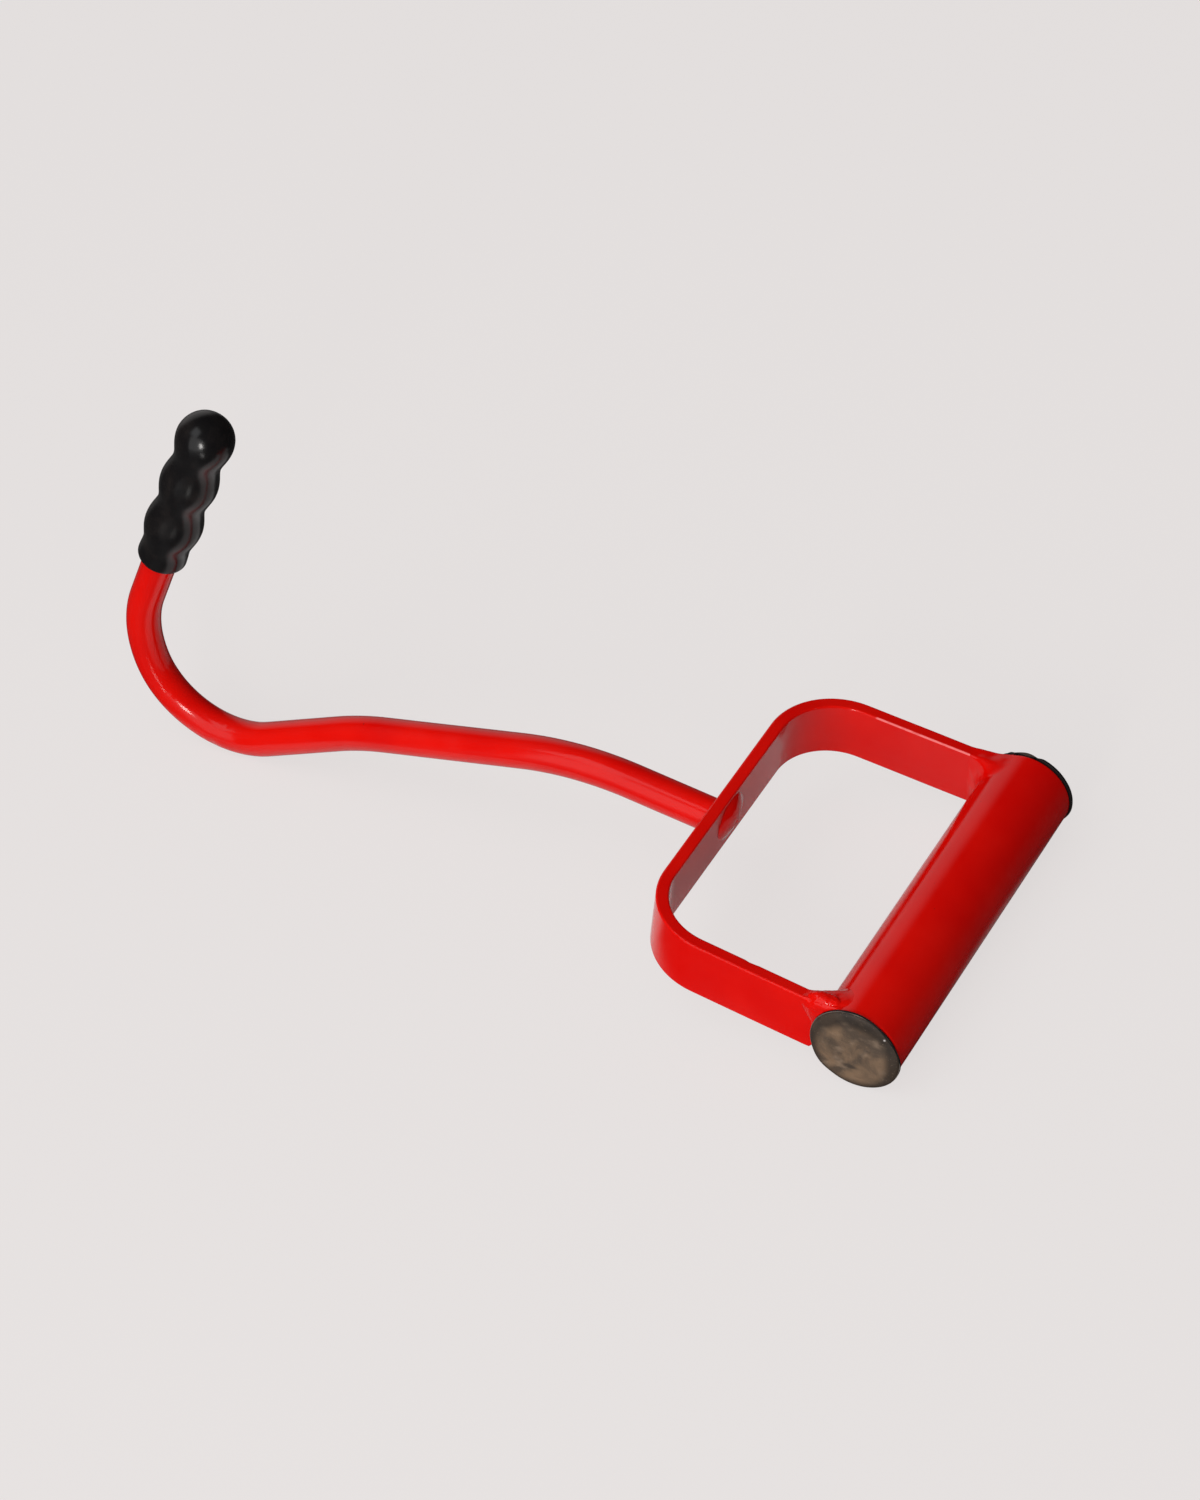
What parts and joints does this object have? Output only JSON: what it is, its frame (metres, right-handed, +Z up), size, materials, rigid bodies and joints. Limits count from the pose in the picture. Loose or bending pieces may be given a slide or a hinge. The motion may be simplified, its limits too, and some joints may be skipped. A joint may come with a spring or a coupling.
{
  "type": "hay hook",
  "caption": "Steel bale hook with a welded D-shaped handle, a long bent round bar and a rubber guard over its point.",
  "frame": {"origin": "middle of the bounding box at its base, on the surface that the tool lies on", "axes": "+X from the hook towards the grip, +Y along the grip, +Z up with the tool lying on its grip and on the belly of its hook"},
  "size_m": [0.3408, 0.1444, 0.1546],
  "materials": {
    "red_paint": "gloss enamel over mill-finish steel, slightly rough",
    "plug_plastic": "scuffed black plastic, dusty brown-grey",
    "guard_rubber": "satin black rubber"
  },
  "bodies": {
    "frame": {"grip_tube": "red_paint", "end_plug_near": "plug_plastic", "end_plug_far": "plug_plastic", "yoke": "red_paint", "hook_rod": "red_paint", "arm_weld_near": "red_paint", "arm_weld_far": "red_paint", "rod_weld": "red_paint"},
    "guard": {"tip_guard": "guard_rubber"}
  },
  "joints": [
    {"name": "guard_pull", "type": "slide", "parent": "frame", "child": "guard", "axis": [0.4235, 0, 0.9059], "range_m": [0, 0.07]}
  ]
}
